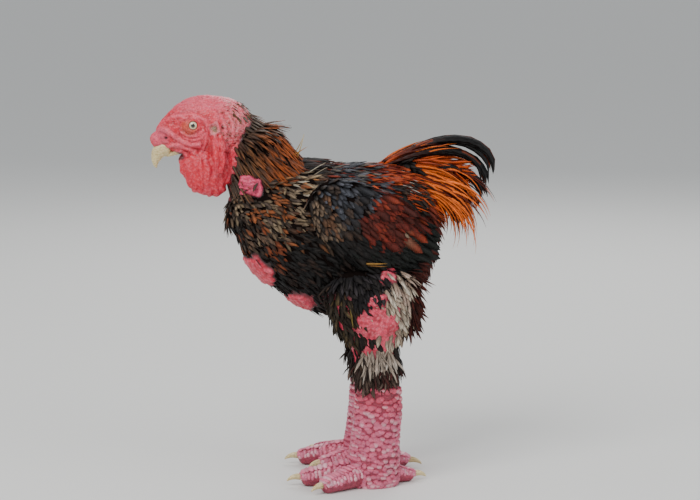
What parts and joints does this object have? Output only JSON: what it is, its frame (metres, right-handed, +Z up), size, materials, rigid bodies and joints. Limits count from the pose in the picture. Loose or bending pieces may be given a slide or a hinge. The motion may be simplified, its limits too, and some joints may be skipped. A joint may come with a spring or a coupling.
{
  "type": "dong tao chicken",
  "caption": "Life-size standing Dong Tao rooster with very thick scaled legs, wrinkled red head and wattles, folded wings and arched tail; a still display model.",
  "frame": {"origin": "on the ground under the middle of the bird's outline, between its feet and its breast", "axes": "+Z up, the bird faces -X, its left side is towards -Y"},
  "size_m": [0.4606, 0.2338, 0.5131],
  "materials": {
    "body_feathers": "dark brown and slate contour feathers with buff and chestnut edges, ragged",
    "hackle": "narrow orange-brown hackle feathers with darker shafts",
    "wing_feathers": "slate shoulder, dark red bow and green-black flight feathers",
    "tail_feathers": "orange saddle plumes over black sickles",
    "thigh_coat": "sparse cream and brown down over pink skin",
    "face_skin": "bright red, wrinkled and granular bare skin",
    "leg_skin": "pink, knobbly scaled leg skin with red between the scales",
    "horn": "satin pale horn of beak and claws",
    "eye": "wet pale iris with a black pupil"
  },
  "bodies": {
    "root": {"beak_lower": "horn", "beak_upper": "horn", "claw_hind_left": "horn", "claw_hind_right": "horn", "claw_inner_left": "horn", "claw_inner_right": "horn", "claw_middle_left": "horn", "claw_middle_right": "horn", "claw_outer_left": "horn", "claw_outer_right": "horn", "comb": "face_skin", "ear_lobe_left": "face_skin", "ear_lobe_right": "face_skin", "eye_left": "eye", "eye_right": "eye", "head": "face_skin", "neck": "hackle", "shank_left": "leg_skin", "shank_right": "leg_skin", "tail": "tail_feathers", "thigh_left": "thigh_coat", "thigh_right": "thigh_coat", "toe_hind_left": "leg_skin", "toe_hind_right": "leg_skin", "toe_inner_left": "leg_skin", "toe_inner_right": "leg_skin", "toe_middle_left": "leg_skin", "toe_middle_right": "leg_skin", "toe_outer_left": "leg_skin", "toe_outer_right": "leg_skin", "torso": "body_feathers", "wattle_left": "face_skin", "wattle_right": "face_skin", "wing_left": "wing_feathers", "wing_right": "wing_feathers"}
  },
  "joints": []
}
